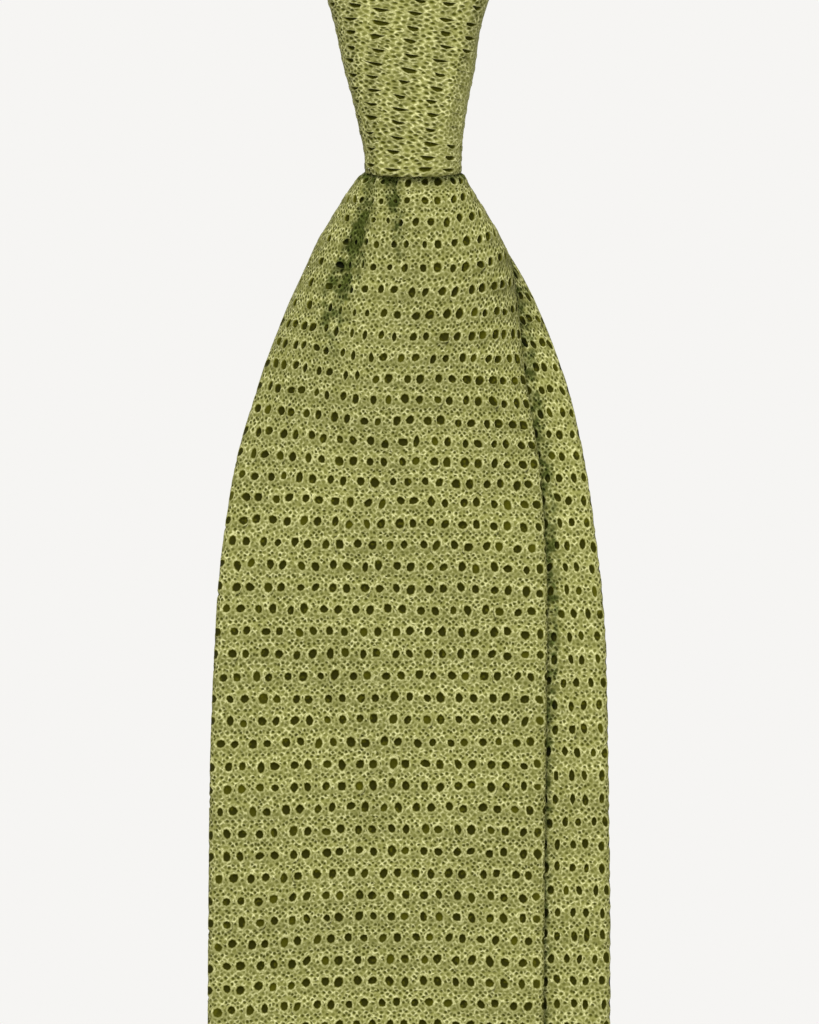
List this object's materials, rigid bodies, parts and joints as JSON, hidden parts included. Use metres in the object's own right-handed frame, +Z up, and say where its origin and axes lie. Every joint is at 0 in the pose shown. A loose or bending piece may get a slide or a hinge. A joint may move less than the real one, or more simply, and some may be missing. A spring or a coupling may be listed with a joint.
{
  "type": "knit tie",
  "caption": "Openwork knit necktie tied in a four-in-hand knot, with a neck loop, a wide front blade and a narrower tail behind it.",
  "frame": {"origin": "middle of the neck loop, where a neck passes through it", "axes": "+Z up along the neck and the length of the tie, the front faces -Y, +X to the right seen from the front"},
  "size_m": [0.1298, 0.1532, 0.565],
  "materials": {
    "knit_band": "openwork silk knit, olive green",
    "knit_knot": "openwork silk knit stretched across the knot, olive green",
    "knit_front": "openwork silk knit, olive green",
    "knit_tail": "openwork silk knit, olive green"
  },
  "bodies": {
    "root": {"neck_band": "knit_band", "knot_wrap": "knit_knot", "front_blade": "knit_front", "tail_blade": "knit_tail"}
  },
  "joints": []
}
